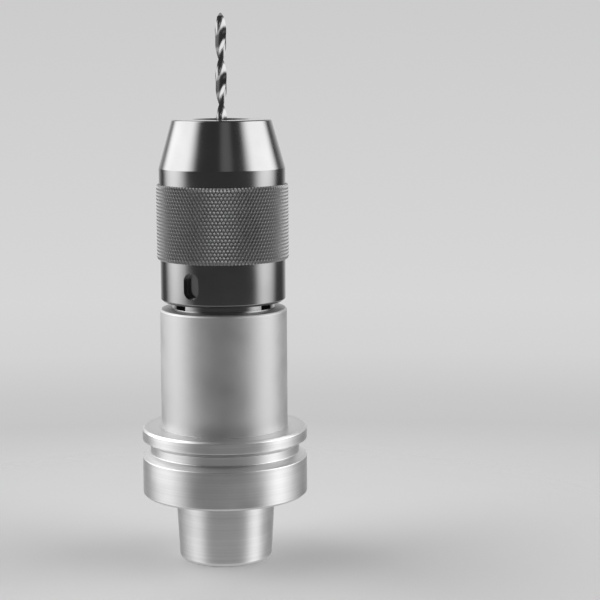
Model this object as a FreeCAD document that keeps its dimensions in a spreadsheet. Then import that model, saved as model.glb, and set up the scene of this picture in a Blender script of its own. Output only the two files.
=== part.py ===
import FreeCAD, Part
import math
import os
import Sketcher

# Keyless drill chuck on a hollow-taper shank, millimetres.
# Origin: centre of the shank's gauge face. +Z runs along the spindle axis towards the drill.
# The sleeve, hood, jaw guide, jaws and screw turn together on the shank. The screw has a left-hand
# thread in the shank, so turning the sleeve moves it along the axis and the jaws slide down the
# hood's inner cone and open.

doc = FreeCAD.newDocument("drill_chuck")
sheet = doc.addObject("Spreadsheet::Sheet", "sizes")


class Size:
    """A length that is known both as a number and as an expression on the sheet."""

    def __init__(self, value, text=None):
        self.value = float(value)
        self.text = text if text is not None else repr(float(value))

    def combined(self, other, sign):
        other = other if isinstance(other, Size) else Size(other)
        numbers = {
            "+": self.value + other.value,
            "-": self.value - other.value,
            "*": self.value * other.value,
            "/": self.value / other.value if sign == "/" else 0.0,
        }
        return Size(numbers[sign], f"({self.text} {sign} {other.text})")

    def __add__(self, other):
        return self.combined(other, "+")

    def __sub__(self, other):
        return self.combined(other, "-")

    def __mul__(self, other):
        return self.combined(other, "*")

    def __truediv__(self, other):
        return self.combined(other, "/")

    def __neg__(self):
        return self * -1


def tangent(angle):
    return Size(math.tan(math.radians(angle.value)), f"tan({angle.text})")


def size(name, value, note):
    """Writes one driving dimension on the sheet and returns it."""
    size.row += 1
    sheet.set(f"A{size.row}", str(value))
    sheet.setAlias(f"A{size.row}", name)
    sheet.set(f"B{size.row}", note)
    return Size(value, f"sizes.{name}")


size.row = 0

# ---- driving dimensions -------------------------------------------------------------------------
# Shank: flange, gripper groove and hollow taper
flange_diameter = size("flange_diameter", 63, "shank flange")
flange_height = size("flange_height", 26, "gauge face to top of the flange")
flange_chamfer = size("flange_chamfer", 0.8, "edge of the flange")
groove_centre = size("groove_centre", 18, "gauge face to middle of the gripper groove")
groove_mouth = size("groove_mouth", 6.9, "groove width at the flange diameter")
groove_root = size("groove_root", 3.2, "groove width at its root")
groove_depth = size("groove_depth", 3, "depth of the groove")
taper_diameter = size("taper_diameter", 38, "taper at the gauge face")
taper_length = size("taper_length", 25, "length of the hollow taper")
taper_ratio = size("taper_ratio", 9.98, "length over which the taper loses one millimetre")
taper_chamfer = size("taper_chamfer", 1, "end of the taper")
entry_diameter = size("entry_diameter", 26, "clamping bore at the shank's end")
entry_length = size("entry_length", 6, "straight length of the clamping bore")
undercut_diameter = size("undercut_diameter", 31, "room behind the clamping shoulder")
undercut_end = size("undercut_end", 4, "gauge face to the end of the undercut, inside the taper")
shoulder_angle = size("shoulder_angle", 30, "clamping shoulder against the axis")
cavity_floor = size("cavity_floor", 1.5, "gauge face to the floor of the hollow")
plug_diameter = size("plug_diameter", 16, "thread of the rear plug")
plug_length = size("plug_length", 5.6, "threaded length of the rear plug")
plug_nose_diameter = size("plug_nose_diameter", 12.6, "plug's nose, inside the ring")
plug_nose_length = size("plug_nose_length", 2.0, "plug's nose")
plug_socket = size("plug_socket", 8, "hexagon socket across the flats")
plug_socket_depth = size("plug_socket_depth", 3.5, "depth of the hexagon socket")
seal_section = size("seal_section", 1.6, "section of the plug's sealing ring")
passage_diameter = size("passage_diameter", 6, "passage between the plug and the screw")

# Shank: body and bearing spigot
body_diameter = size("body_diameter", 48.2, "plain body above the flange")
body_top = size("body_top", 71.5, "gauge face to the shoulder at the top of the body")
body_chamfer = size("body_chamfer", 0.6, "edges of the body")
spigot_diameter = size("spigot_diameter", 28, "spigot that carries the bearing")
neck_ring_diameter = size("neck_ring_diameter", 37.4, "slotted ring in the neck")
neck_ring_height = size("neck_ring_height", 2.65, "slotted ring in the neck")
neck_step_diameter = size("neck_step_diameter", 39, "flange at the foot of the slotted ring")
neck_step_height = size("neck_step_height", 0.6, "flange at the foot of the slotted ring")
neck_slot_width = size("neck_slot_width", 7, "notch in the slotted ring")
neck_slot_depth = size("neck_slot_depth", 2.6, "notch in the slotted ring")
neck_slot_angle = size("neck_slot_angle", 62, "first notch, from the front towards the right")

# Bearing between the shank and the sleeve
turning_gap = size("turning_gap", 0.3, "gap between faces that turn past each other")
fit_gap = size("fit_gap", 0.05, "radial clearance of running fits")
band_flange_height = size("band_flange_height", 2.8, "inner flange at the foot of the spanner ring")
race_height = size("race_height", 1.2, "thrust washer")
ball_diameter = size("ball_diameter", 2.9, "bearing ball")
ball_gap = size("ball_gap", 0.05, "clearance above and below a ball")
ball_count = 12
cage_height = size("cage_height", 1.0, "ball cage")
nut_height = size("nut_height", 3.0, "retaining nut")
nut_slot_width = size("nut_slot_width", 2.6, "face slot of the retaining nut")
nut_slot_depth = size("nut_slot_depth", 1.0, "face slot of the retaining nut")
nut_slot_count = 4
nut_screw_diameter = size("nut_screw_diameter", 1.6, "grub screw of the retaining nut")
dust_ring_width = size("dust_ring_width", 1.4, "radial width of the felt dust ring")
dust_ring_height = size("dust_ring_height", 1.2, "height of the felt dust ring")

# Sleeve: spanner ring, knurled sleeve and hood
band_step = size("band_step", 1.05, "spanner ring's outside over the joint")
band_height = size("band_height", 15.95, "visible height of the spanner ring")
band_chamfer = size("band_chamfer", 0.9, "lower edge of the spanner ring")
band_wall = size("band_wall", 3, "joint to the inside of the spanner ring")
spanner_slot_width = size("spanner_slot_width", 6.2, "slot for the hook spanner")
spanner_slot_height = size("spanner_slot_height", 9.8, "slot for the hook spanner")
spanner_slot_depth = size("spanner_slot_depth", 2.9, "slot for the hook spanner")
spanner_slot_centre = size("spanner_slot_centre", 7.75, "foot of the spanner ring to the slot's middle")
spanner_slot_angle = size("spanner_slot_angle", -28, "slot, from the front towards the right")
spanner_slot_chamfer = size("spanner_slot_chamfer", 0.4, "mouth of the slot")
skirt_wall = size("skirt_wall", 2.74, "hood between its cone and the joint, at its lower end")
joint_length = size("joint_length", 7, "length of the ring's thread inside the sleeve")
sleeve_wall = size("sleeve_wall", 2.3, "knurled sleeve over its points, outside the joint")
knurl_height = size("knurl_height", 28.25, "knurled sleeve")
knurl_chamfer = size("knurl_chamfer", 0.5, "ends of the knurled sleeve")
collar_step = size("collar_step", 1.25, "hood's plain collar over the joint")
collar_height = size("collar_height", 6, "plain collar of the hood")
nose_height = size("nose_height", 18.15, "conical nose of the hood")
nose_diameter = size("nose_diameter", 37.7, "front face of the hood")
nose_edge = size("nose_edge", 0.4, "edge of the front face")
nose_bore = size("nose_bore", 13.7, "jaw cone where it would meet the hood's front face")
mouth_diameter = size("mouth_diameter", 22, "countersunk mouth of the hood")
cone_angle = size("cone_angle", 16, "jaw track against the axis")

# Jaw guide and its pins
guide_gap = size("guide_gap", 0.02, "guide in the hood's cone")
guide_bore = size("guide_bore", 13.4, "bore of the jaw guide")
guide_recess = size("guide_recess", 2.2, "hood's front face to the guide's front face")
guide_ring_height = size("guide_ring_height", 3.8, "closed ring at the rear of the guide")
guide_pin_diameter = size("guide_pin_diameter", 3, "radial pin that holds the guide")
guide_pin_height = size("guide_pin_height", 4.3, "pin's middle below the top of the knurled sleeve")
guide_pin_grip = size("guide_pin_grip", 3.5, "length of the pin inside the guide")

# Jaws
drill_diameter = size("drill_diameter", 4.2, "drill that is held")
closed_radius = size("closed_radius", 0.5, "grip radius when the jaw tips are flush with the nose")
open_radius = size("open_radius", 6.5, "grip radius at full opening")
grip_gap = size("grip_gap", 0.02, "jaw land to drill")
jaw_count = 3
first_jaw_angle = 30
jaw_width = size("jaw_width", 6.6, "width of a jaw")
jaw_length = size("jaw_length", 26, "length of a jaw without its foot")
jaw_land_length = size("jaw_land_length", 12, "gripping land")
jaw_land_relief = size("jaw_land_relief", 1, "relief behind the gripping land")
jaw_land_width = size("jaw_land_width", 0.8, "width of the gripping land")
jaw_front_length = size("jaw_front_length", 16, "part of the jaw's back that bears on the cone")
jaw_back_relief = size("jaw_back_relief", 2.5, "relief of the jaw's back behind that")
jaw_back_radius = size("jaw_back_radius", 7, "roundness of the jaw's back")
jaw_gap = size("jaw_gap", 0.05, "jaw to guide and jaw to cone")
foot_inner = size("foot_inner", 6, "inner end of the jaw's foot, from the axis")
foot_length = size("foot_length", 7.4, "radial length of the jaw's foot")
foot_neck_width = size("foot_neck_width", 3.2, "neck of the jaw's foot")
foot_neck_height = size("foot_neck_height", 2.4, "neck of the jaw's foot")
foot_width = size("foot_width", 5.4, "width of the jaw's foot")
foot_height = size("foot_height", 2.8, "height of the jaw's foot")
foot_gap = size("foot_gap", 0.2, "clearance of the foot in its T-slot")

# Clamping screw
head_diameter = size("head_diameter", 27.2, "head of the clamping screw")
head_height = size("head_height", 8, "head of the clamping screw")
head_bore = size("head_bore", 13.8, "recess in the head for the end of the drill")
head_gap = size("head_gap", 0.3, "head to guide")
stem_diameter = size("stem_diameter", 16, "left-hand thread of the screw")
stem_length = size("stem_length", 34, "threaded stem")
stem_chamfer = size("stem_chamfer", 1, "end of the stem")
stop_gap = size("stop_gap", 0.8, "stem to the bottom of its bore at full opening")

# Drill
drill_length = size("drill_length", 75, "length of the drill")
drill_reach = size("drill_reach", 39.4, "drill in front of the hood")
point_angle = size("point_angle", 118, "drill point")

# ---- levels and radii worked out from them ------------------------------------------------------
slope = tangent(cone_angle)
taper_end = -taper_length
band_bottom = body_top + neck_ring_height + turning_gap
band_floor = band_bottom + band_flange_height
ball_room = ball_diameter + ball_gap * 2
lower_race_top = band_floor + race_height
upper_race_bottom = lower_race_top + ball_room
nut_bottom = upper_race_bottom + race_height
spigot_top = nut_bottom + nut_height
band_top = band_bottom + band_height
joint_top = band_top + joint_length
knurl_top = band_top + knurl_height
collar_top = knurl_top + collar_height
nose_top = collar_top + nose_height


def cone_radius(level):
    """Radius of the hood's inner cone at a level."""
    return nose_bore / 2 + (nose_top - level) * slope


joint_radius = cone_radius(joint_top) + skirt_wall
knurl_radius = joint_radius + sleeve_wall
collar_radius = joint_radius + collar_step
band_radius = joint_radius + band_step
band_bore_radius = joint_radius - band_wall
spigot_radius = spigot_diameter / 2
running_bore = spigot_radius + turning_gap
bearing_radius = band_bore_radius - fit_gap
ball_pitch_radius = (running_bore + bearing_radius) / 2
grip_radius = drill_diameter / 2 + grip_gap
jaw_tip = nose_top - (grip_radius - closed_radius) / slope
jaw_rear = jaw_tip - jaw_length
jaw_travel = (open_radius - grip_radius) / slope
foot_bottom = jaw_rear - foot_neck_height - foot_height
head_top = jaw_rear - jaw_gap
head_bottom = head_top - head_height
stem_bottom = head_bottom - stem_length
bore_bottom = stem_bottom - jaw_travel - stop_gap
track_step = jaw_tip - jaw_front_length - jaw_travel - foot_gap * 2
guide_bottom = track_step - guide_ring_height
guide_top = nose_top - guide_recess
guide_pin_level = knurl_top - guide_pin_height
drill_top = nose_top + drill_reach
drill_bottom = drill_top - drill_length
drill_radius = drill_diameter / 2


# ---- drawing helpers ----------------------------------------------------------------------------
def new_body(name):
    body = doc.addObject("PartDesign::Body", name)
    body.Label = name
    return body


def origin_feature(body, role):
    return next(item for item in body.Origin.OriginFeatures if item.Role == role)


def as_size(number):
    return number if isinstance(number, Size) else Size(number)


def new_sketch(body, name, plane, offset=None):
    sketch = body.newObject("Sketcher::SketchObject", name)
    sketch.AttachmentSupport = (origin_feature(body, plane), [""])
    sketch.MapMode = "FlatFace"
    if offset is not None:
        sketch.AttachmentOffset = FreeCAD.Placement(FreeCAD.Vector(0, 0, offset.value), FreeCAD.Rotation())
        sketch.setExpression("AttachmentOffset.Base.z", offset.text)
    return sketch


def pin_down(sketch, geometry, end, point):
    """Ties one point of a sketch to the sketch's origin with two driving distances."""
    for kind, coordinate in zip(("DistanceX", "DistanceY"), point):
        coordinate = as_size(coordinate)
        row = sketch.addConstraint(Sketcher.Constraint(kind, -1, 1, geometry, end, coordinate.value))
        if "sizes." in coordinate.text:
            sketch.setExpression(f"Constraints[{row}]", coordinate.text)


def add_outline(sketch, points):
    """Adds one closed outline of straight lines through the points."""
    first = sketch.GeometryCount
    places = [FreeCAD.Vector(as_size(x).value, as_size(y).value, 0) for x, y in points]
    count = len(points)
    for index in range(count):
        sketch.addGeometry(Part.LineSegment(places[index], places[(index + 1) % count]))
    for index in range(count):
        following = first + (index + 1) % count
        sketch.addConstraint(Sketcher.Constraint("Coincident", first + index, 2, following, 1))
    for index, point in enumerate(points):
        pin_down(sketch, first + index, 1, point)


def add_circle(sketch, centre, radius):
    x, y = (as_size(value).value for value in centre)
    index = sketch.addGeometry(Part.Circle(FreeCAD.Vector(x, y, 0), FreeCAD.Vector(0, 0, 1), radius.value))
    row = sketch.addConstraint(Sketcher.Constraint("Radius", index, radius.value))
    sketch.setExpression(f"Constraints[{row}]", radius.text)
    pin_down(sketch, index, 3, centre)


def turned(body, name, points):
    """Turns an outline of (radius, height) points about the axis, as on a lathe."""
    sketch = new_sketch(body, name + "_outline", "XZ_Plane")
    add_outline(sketch, points)
    feature = body.newObject("PartDesign::Revolution", name)
    feature.Profile = sketch
    feature.ReferenceAxis = (sketch, ["V_Axis"])
    feature.Angle = 360
    return feature


def groove_around(body, name, points):
    sketch = new_sketch(body, name + "_outline", "XZ_Plane")
    add_outline(sketch, points)
    feature = body.newObject("PartDesign::Groove", name)
    feature.Profile = sketch
    feature.ReferenceAxis = (sketch, ["V_Axis"])
    feature.Angle = 360
    return feature


def centred_pad(body, name, sketch, width):
    feature = body.newObject("PartDesign::Pad", name)
    feature.Profile = sketch
    feature.SideType = "Symmetric"
    feature.Length = width.value
    feature.setExpression("Length", width.text)
    return feature


def centred_pocket(body, name, sketch, width):
    feature = body.newObject("PartDesign::Pocket", name)
    feature.Profile = sketch
    feature.SideType = "Symmetric"
    feature.Length = width.value
    feature.setExpression("Length", width.text)
    return feature


def around_axis(body, name, feature, count):
    """Repeats a feature evenly around the axis."""
    pattern = body.newObject("PartDesign::PolarPattern", name)
    pattern.Originals = [feature]
    pattern.Axis = (origin_feature(body, "Z_Axis"), [""])
    pattern.Angle = 360
    pattern.Occurrences = count
    body.Tip = pattern
    return pattern


def turn_by(item, degrees):
    item.Placement = FreeCAD.Placement(FreeCAD.Vector(), FreeCAD.Rotation(FreeCAD.Vector(0, 0, 1), degrees))


# ---- shank --------------------------------------------------------------------------------------
def make_hsk_shank():
    """Flange, hollow taper, body and bearing spigot in one piece, bored for the screw."""
    body = new_body("hsk_shank")
    flange_radius = flange_diameter / 2
    body_radius = body_diameter / 2
    taper_radius = taper_diameter / 2
    end_radius = taper_radius - taper_length / taper_ratio / 2
    entry_radius = entry_diameter / 2
    undercut_radius = undercut_diameter / 2
    entry_top = taper_end + entry_length
    shoulder_top = entry_top + (undercut_radius - entry_radius) / tangent(shoulder_angle)
    plug_radius = plug_diameter / 2
    plug_seat = cavity_floor + plug_length + plug_nose_length
    passage_radius = passage_diameter / 2
    thread_radius = stem_diameter / 2 + fit_gap
    turned(body, "shank_blank", [
        (entry_radius, taper_end),
        (end_radius - taper_chamfer / 2, taper_end),
        (end_radius, taper_end + taper_chamfer),
        (taper_radius, 0),
        (flange_radius - flange_chamfer, 0),
        (flange_radius, flange_chamfer),
        (flange_radius, flange_height - flange_chamfer),
        (flange_radius - flange_chamfer, flange_height),
        (body_radius, flange_height),
        (body_radius, body_top - body_chamfer),
        (body_radius - body_chamfer, body_top),
        (spigot_radius, body_top),
        (spigot_radius, spigot_top),
        (thread_radius, spigot_top),
        (thread_radius, bore_bottom),
        (passage_radius, bore_bottom),
        (passage_radius, plug_seat),
        (plug_radius, plug_seat),
        (plug_radius, cavity_floor),
        (undercut_radius - undercut_end, cavity_floor),
        (undercut_radius, -undercut_end),
        (undercut_radius, shoulder_top),
        (entry_radius, entry_top),
    ])
    groove_around(body, "gripper_groove", [
        (flange_radius + groove_depth, groove_centre - groove_mouth / 2),
        (flange_radius, groove_centre - groove_mouth / 2),
        (flange_radius - groove_depth, groove_centre - groove_root / 2),
        (flange_radius - groove_depth, groove_centre + groove_root / 2),
        (flange_radius, groove_centre + groove_mouth / 2),
        (flange_radius + groove_depth, groove_centre + groove_mouth / 2),
    ])
    return body


def make_slotted_ring():
    """Black ring at the foot of the neck, with three notches for a pin spanner."""
    body = new_body("slotted_ring")
    radius = neck_ring_diameter / 2
    top = body_top + neck_ring_height
    step_top = body_top + neck_step_height
    turned(body, "ring_blank", [
        (spigot_radius, body_top),
        (neck_step_diameter / 2, body_top),
        (neck_step_diameter / 2, step_top),
        (radius, step_top),
        (radius, top),
        (spigot_radius, top),
    ])
    sketch = new_sketch(body, "notch_outline", "XZ_Plane")
    add_outline(sketch, [
        (radius - neck_slot_depth, step_top),
        (radius + neck_slot_depth, step_top),
        (radius + neck_slot_depth, top + neck_ring_height),
        (radius - neck_slot_depth, top + neck_ring_height),
    ])
    notch = centred_pocket(body, "notch", sketch, neck_slot_width)
    around_axis(body, "notches", notch, jaw_count)
    turn_by(body, neck_slot_angle.value - 90)
    return body


def make_rear_plug():
    """Sealing plug screwed into the floor of the hollow taper, with a hexagon socket."""
    body = new_body("rear_plug")
    shoulder = cavity_floor + plug_length
    nose_radius = plug_nose_diameter / 2
    turned(body, "plug_blank", [
        (0, cavity_floor),
        (plug_diameter / 2, cavity_floor),
        (plug_diameter / 2, shoulder),
        (nose_radius, shoulder),
        (nose_radius, shoulder + plug_nose_length),
        (0, shoulder + plug_nose_length),
    ])
    corner = plug_socket / 2 * tangent(Size(30)) * 2
    sketch = new_sketch(body, "socket_outline", "XY_Plane", cavity_floor)
    add_outline(sketch, [
        (corner, 0),
        (corner / 2, plug_socket / 2),
        (-corner / 2, plug_socket / 2),
        (-corner, 0),
        (-corner / 2, -plug_socket / 2),
        (corner / 2, -plug_socket / 2),
    ])
    socket = body.newObject("PartDesign::Pocket", "socket")
    socket.Profile = sketch
    socket.Reversed = True
    socket.setExpression("Length", plug_socket_depth.text)
    return body


def make_plug_seal():
    """Sealing ring around the plug's nose."""
    seal = doc.addObject("Part::Torus", "plug_seal")
    seal.Label = "plug_seal"
    middle = plug_nose_diameter / 2 + seal_section / 2
    seal.setExpression("Radius1", middle.text)
    seal.setExpression("Radius2", (seal_section / 2).text)
    level = cavity_floor + plug_length + seal_section / 2
    seal.setExpression("Placement.Base.z", level.text)
    return seal


# ---- bearing ------------------------------------------------------------------------------------
def make_washer(name, inner, outer, bottom, height):
    body = new_body(name)
    top = bottom + height
    turned(body, name + "_blank", [(inner, bottom), (outer, bottom), (outer, top), (inner, top)])
    return body


def make_retaining_nut():
    """Ring nut on the spigot's thread, with four face slots, above the bearing."""
    outer = bearing_radius - turning_gap
    body = make_washer("retaining_nut", spigot_radius, outer, nut_bottom, nut_height)
    sketch = new_sketch(body, "nut_slot_outline", "XZ_Plane")
    add_outline(sketch, [
        (spigot_radius - turning_gap, spigot_top - nut_slot_depth),
        (outer + turning_gap, spigot_top - nut_slot_depth),
        (outer + turning_gap, spigot_top + nut_slot_depth),
        (spigot_radius - turning_gap, spigot_top + nut_slot_depth),
    ])
    slot = centred_pocket(body, "nut_slot", sketch, nut_slot_width)
    slots = around_axis(body, "nut_slots", slot, nut_slot_count)
    level = nut_bottom + (nut_height - nut_slot_depth) / 2
    sketch = new_sketch(body, "screw_hole_outline", "YZ_Plane")
    add_circle(sketch, (0, level), nut_screw_diameter / 2)
    hole = body.newObject("PartDesign::Pocket", "screw_hole")
    hole.Profile = sketch
    hole.Reversed = True
    hole.BaseFeature = slots
    hole.setExpression("Length", (outer + turning_gap).text)
    body.Tip = hole
    turn_by(body, 45)
    return body


def make_nut_screw():
    """Grub screw that locks the retaining nut on its thread."""
    screw = doc.addObject("Part::Cylinder", "nut_screw")
    screw.Label = "nut_screw"
    screw.setExpression("Radius", (nut_screw_diameter / 2).text)
    screw.setExpression("Height", (bearing_radius - turning_gap * 2 - spigot_radius).text)
    level = nut_bottom + (nut_height - nut_slot_depth) / 2
    direction = FreeCAD.Rotation(FreeCAD.Vector(0, 0, 1), 45) * FreeCAD.Rotation(FreeCAD.Vector(0, 1, 0), 90)
    start = direction.multVec(FreeCAD.Vector(0, 0, spigot_radius.value))
    start.z = level.value
    screw.Placement = FreeCAD.Placement(start, direction)
    screw.setExpression("Placement.Base.z", level.text)
    return screw


def make_ball_cage():
    """Flat cage that keeps the balls apart."""
    bottom = lower_race_top + (ball_room - cage_height) / 2
    outer = bearing_radius - turning_gap
    body = make_washer("ball_cage", running_bore + turning_gap, outer, bottom, cage_height)
    sketch = new_sketch(body, "pocket_outline", "XY_Plane", bottom - cage_height)
    add_circle(sketch, (ball_pitch_radius, 0), ball_diameter / 2 + ball_gap)
    pocket = body.newObject("PartDesign::Pocket", "ball_pocket")
    pocket.Profile = sketch
    pocket.Reversed = True
    pocket.setExpression("Length", (cage_height * 3).text)
    around_axis(body, "ball_pockets", pocket, ball_count)
    return body


def make_bearing_balls():
    """Ring of balls between the thrust washers."""
    balls = doc.addObject("Part::Feature", "bearing_balls")
    balls.Label = "bearing_balls"
    level = (lower_race_top + ball_room / 2).value
    solids = []
    for index in range(ball_count):
        turn = 2 * math.pi * index / ball_count
        reach = ball_pitch_radius.value
        centre = FreeCAD.Vector(reach * math.cos(turn), reach * math.sin(turn), level)
        solids.append(Part.makeSphere(ball_diameter.value / 2, centre))
    balls.Shape = Part.makeCompound(solids)
    return balls


# ---- sleeve -------------------------------------------------------------------------------------
def make_spanner_ring():
    """Lower ring of the sleeve: it runs on the bearing and has two slots for a hook spanner."""
    body = new_body("spanner_ring")
    outer = band_radius
    groove = running_bore + dust_ring_width - fit_gap
    groove_bottom = band_bottom + (band_flange_height - dust_ring_height) / 2
    turned(body, "band_blank", [
        (running_bore, band_bottom),
        (outer - band_chamfer, band_bottom),
        (outer, band_bottom + band_chamfer),
        (outer, band_top),
        (joint_radius, band_top),
        (joint_radius, joint_top),
        (band_bore_radius, joint_top),
        (band_bore_radius, band_floor),
        (running_bore, band_floor),
        (running_bore, groove_bottom + dust_ring_height),
        (groove, groove_bottom + dust_ring_height),
        (groove, groove_bottom),
        (running_bore, groove_bottom),
    ])
    sketch = new_sketch(body, "slot_outline", "XZ_Plane", outer - spanner_slot_depth)
    half = spanner_slot_width / 2
    straight = (spanner_slot_height - spanner_slot_width) / 2
    level = band_bottom + spanner_slot_centre
    add_obround(sketch, level, straight, half)
    slot = body.newObject("PartDesign::Pocket", "spanner_slot")
    slot.Profile = sketch
    slot.Reversed = True
    slot.setExpression("Length", (spanner_slot_depth * 2).text)
    slots = around_axis(body, "spanner_slots", slot, 2)
    doc.recompute()
    mouth = [
        f"Edge{number}"
        for number, edge in enumerate(slots.Shape.Edges, 1)
        if on_band_at_slot(edge, outer.value, level.value)
    ]
    chamfer = body.newObject("PartDesign::Chamfer", "slot_mouths")
    chamfer.Base = (slots, mouth)
    chamfer.setExpression("Size", spanner_slot_chamfer.text)
    turn_by(body, spanner_slot_angle.value)
    return body


def on_band_at_slot(edge, radius, level):
    """True for an edge of a spanner slot that lies on the outside of the ring."""
    middle = edge.valueAt((edge.FirstParameter + edge.LastParameter) / 2)
    on_surface = abs(math.hypot(middle.x, middle.y) - radius) < 0.01
    near_slot = abs(middle.x) < spanner_slot_width.value and abs(middle.z - level) < spanner_slot_height.value
    return on_surface and near_slot and edge.Length < 2 * spanner_slot_height.value


def add_obround(sketch, level, straight, half):
    """Adds an upright slot with round ends, centred on the vertical axis at a level."""
    corners = [
        (-half, level + straight),
        (-half, level - straight),
        (half, level - straight),
        (half, level + straight),
    ]
    places = [FreeCAD.Vector(x.value, y.value, 0) for x, y in corners]
    upright = FreeCAD.Vector(0, 0, 1)
    left = sketch.addGeometry(Part.LineSegment(places[0], places[1]))
    right = sketch.addGeometry(Part.LineSegment(places[2], places[3]))
    for line, first in ((left, 0), (right, 2)):
        pin_down(sketch, line, 1, corners[first])
        pin_down(sketch, line, 2, corners[first + 1])
    ends = (
        (level - straight, math.pi, left, right),
        (level + straight, 0, right, left),
    )
    for centre, start, before, after in ends:
        circle = Part.Circle(FreeCAD.Vector(0, centre.value, 0), upright, half.value)
        arc = sketch.addGeometry(Part.ArcOfCircle(circle, start, start + math.pi))
        sketch.addConstraint(Sketcher.Constraint("Coincident", arc, 1, before, 2))
        sketch.addConstraint(Sketcher.Constraint("Coincident", arc, 2, after, 1))
        row = sketch.addConstraint(Sketcher.Constraint("DistanceY", -1, 1, arc, 3, centre.value))
        sketch.setExpression(f"Constraints[{row}]", centre.text)


def make_knurled_sleeve():
    """Grip sleeve, pressed over the hood's lower end and the spanner ring."""
    body = new_body("knurled_sleeve")
    turned(body, "sleeve_blank", [
        (joint_radius, band_top),
        (knurl_radius - knurl_chamfer, band_top),
        (knurl_radius, band_top + knurl_chamfer),
        (knurl_radius, knurl_top - knurl_chamfer),
        (knurl_radius - knurl_chamfer, knurl_top),
        (joint_radius, knurl_top),
    ])
    return body


def make_hood():
    """Hood with the conical track that closes the jaws."""
    body = new_body("hood")
    nose = nose_diameter / 2
    turned(body, "hood_blank", [
        (cone_radius(joint_top), joint_top),
        (joint_radius, joint_top),
        (joint_radius, knurl_top),
        (collar_radius, knurl_top),
        (collar_radius, collar_top),
        (nose, nose_top - nose_edge),
        (nose - nose_edge, nose_top),
        (mouth_diameter / 2, nose_top),
        (cone_radius(guide_top), guide_top),
    ])
    sketch = new_sketch(body, "pin_hole_outline", "YZ_Plane")
    add_circle(sketch, (0, guide_pin_level), guide_pin_diameter / 2)
    hole = body.newObject("PartDesign::Pocket", "pin_hole")
    hole.Profile = sketch
    hole.Reversed = True
    hole.setExpression("Length", joint_radius.text)
    around_axis(body, "pin_holes", hole, jaw_count)
    turn_by(body, first_jaw_angle + 180 / jaw_count)
    return body


def pin_inner_radius():
    return cone_radius(guide_pin_level) - guide_pin_grip


def make_guide_pins():
    """Three pins that hold the jaw guide in the hood."""
    pins = doc.addObject("Part::Feature", "guide_pins")
    pins.Label = "guide_pins"
    start = pin_inner_radius().value
    length = joint_radius.value - start - fit_gap.value
    solids = []
    for index in range(jaw_count):
        turn = math.radians(first_jaw_angle + (index + 0.5) * 360 / jaw_count)
        outward = FreeCAD.Vector(math.cos(turn), math.sin(turn), 0)
        foot = outward * start + FreeCAD.Vector(0, 0, guide_pin_level.value)
        solids.append(Part.makeCylinder(guide_pin_diameter.value / 2, length, foot, outward))
    pins.Shape = Part.makeCompound(solids)
    return pins


def make_jaw_guide():
    """Conical guide in the hood, with one track for each jaw and a closed ring at its rear."""
    body = new_body("jaw_guide")
    bore = guide_bore / 2
    room = head_diameter / 2 + head_gap
    shelf = jaw_rear + foot_neck_height
    turned(body, "guide_blank", [
        (room, guide_bottom),
        (cone_radius(guide_bottom) - guide_gap, guide_bottom),
        (cone_radius(guide_top) - guide_gap, guide_top),
        (bore, guide_top),
        (bore, shelf),
        (room, shelf),
    ])
    relief = jaw_back_relief - jaw_gap
    past = jaw_width
    sketch = new_sketch(body, "track_outline", "XZ_Plane")
    add_outline(sketch, [
        (0, guide_bottom - past),
        (cone_radius(guide_bottom - past) - relief, guide_bottom - past),
        (cone_radius(track_step) - relief, track_step),
        (cone_radius(track_step) + past, track_step),
        (cone_radius(guide_top + past) + past, guide_top + past),
        (0, guide_top + past),
    ])
    track = centred_pocket(body, "jaw_track", sketch, jaw_width + jaw_gap * 2)
    around_axis(body, "jaw_tracks", track, jaw_count)
    sketch = new_sketch(body, "pin_hole_outline", "YZ_Plane", -cone_radius(guide_bottom))
    add_circle(sketch, (0, guide_pin_level), guide_pin_diameter / 2)
    hole = body.newObject("PartDesign::Pocket", "pin_hole")
    hole.Profile = sketch
    hole.Reversed = True
    hole.setExpression("Length", (cone_radius(guide_bottom) - pin_inner_radius()).text)
    around_axis(body, "pin_holes", hole, jaw_count)
    turn_by(body, first_jaw_angle)
    return body


# ---- screw, jaws and drill ----------------------------------------------------------------------
def make_clamping_screw():
    """Left-hand screw whose head pulls and pushes the jaws in three T-slots."""
    body = new_body("clamping_screw")
    head = head_diameter / 2
    recess = head_bore / 2
    stem = stem_diameter / 2
    recess_floor = foot_bottom - foot_gap
    turned(body, "screw_blank", [
        (0, stem_bottom),
        (stem - stem_chamfer, stem_bottom),
        (stem, stem_bottom + stem_chamfer),
        (stem, head_bottom),
        (head, head_bottom),
        (head, head_top),
        (recess, head_top),
        (recess, recess_floor),
        (0, recess_floor),
    ])
    past = head + foot_length
    sketch = new_sketch(body, "slot_neck_outline", "XZ_Plane")
    add_outline(sketch, [
        (0, recess_floor),
        (past, recess_floor),
        (past, jaw_rear + foot_height),
        (0, jaw_rear + foot_height),
    ])
    neck = centred_pocket(body, "slot_neck", sketch, foot_neck_width + foot_gap * 2)
    around_axis(body, "slot_necks", neck, jaw_count)
    sketch = new_sketch(body, "slot_room_outline", "XZ_Plane")
    ceiling = jaw_rear - foot_neck_height + foot_gap
    add_outline(sketch, [(0, recess_floor), (past, recess_floor), (past, ceiling), (0, ceiling)])
    room = centred_pocket(body, "slot_room", sketch, foot_width + foot_gap * 2)
    around_axis(body, "slot_rooms", room, jaw_count)
    turn_by(body, first_jaw_angle)
    return body


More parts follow.
